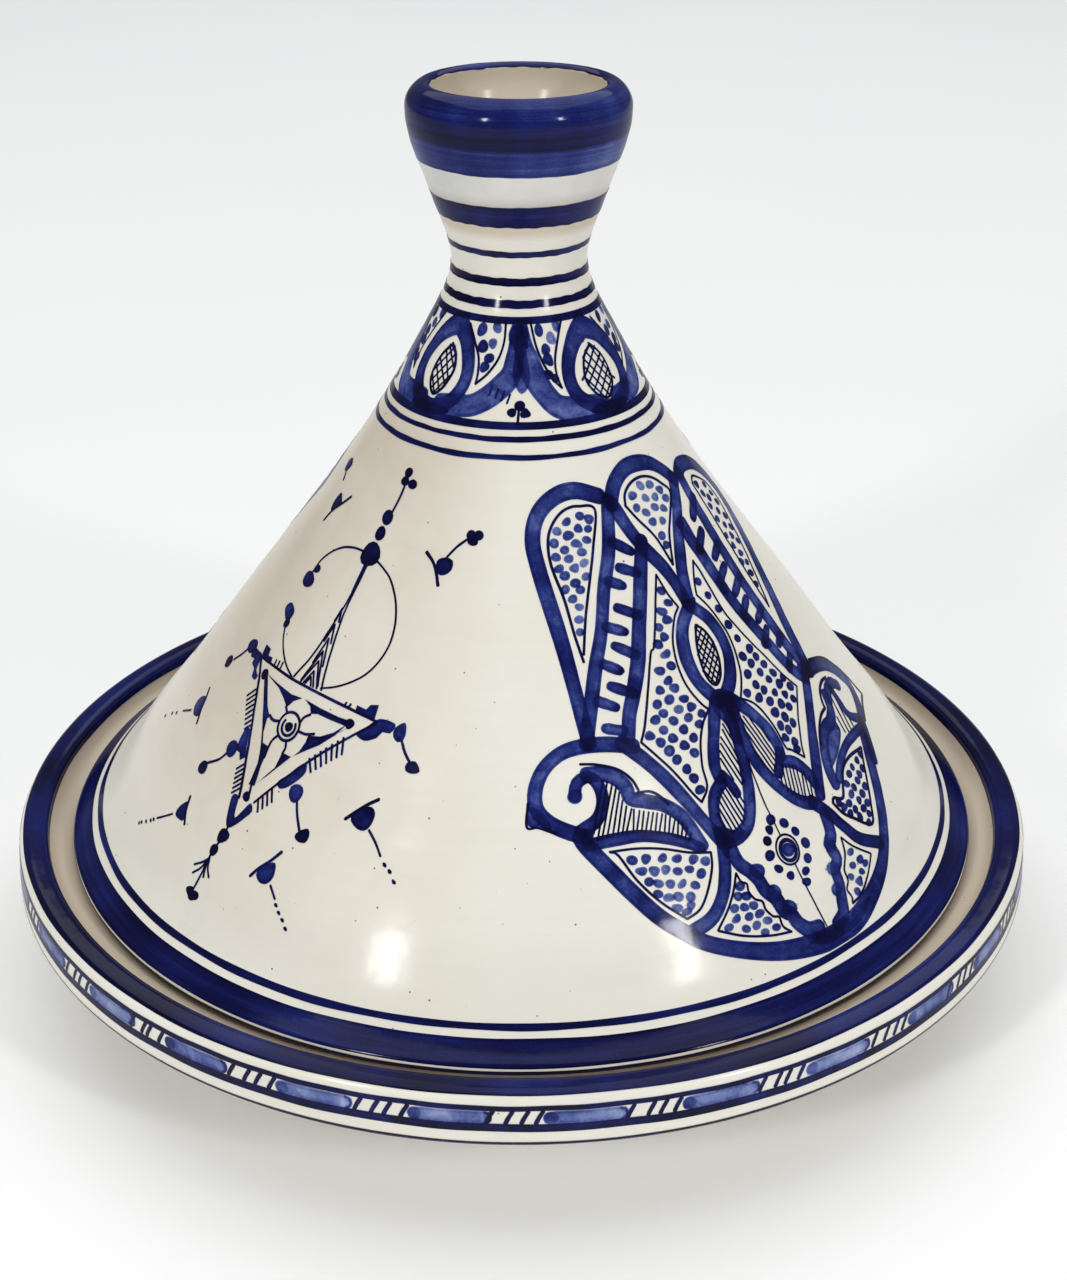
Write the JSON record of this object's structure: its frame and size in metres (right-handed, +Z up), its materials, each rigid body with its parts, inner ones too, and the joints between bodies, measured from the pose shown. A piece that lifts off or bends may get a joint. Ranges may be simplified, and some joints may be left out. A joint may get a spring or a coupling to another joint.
{
  "type": "serving tagine",
  "caption": "Glazed earthenware serving tagine: shallow round dish with a rolled rim, and a conical lid with an open cup knob that lifts off.",
  "frame": {"origin": "middle of the foot ring's resting face, on the table", "axes": "+Z is up, along the turning axis of both pieces; -Y is the front, where the decoration is laid out from"},
  "size_m": [0.3176, 0.3176, 0.2668],
  "materials": {
    "dish_glaze": "gloss",
    "lid_glaze": "gloss"
  },
  "bodies": {
    "dish": {"base_dish": "dish_glaze"},
    "lid": {"conical_lid": "lid_glaze"}
  },
  "joints": [
    {"name": "lid_lift", "type": "slide", "parent": "dish", "child": "lid", "axis": [0, 0, 1], "range_m": [0, 0.29]}
  ]
}
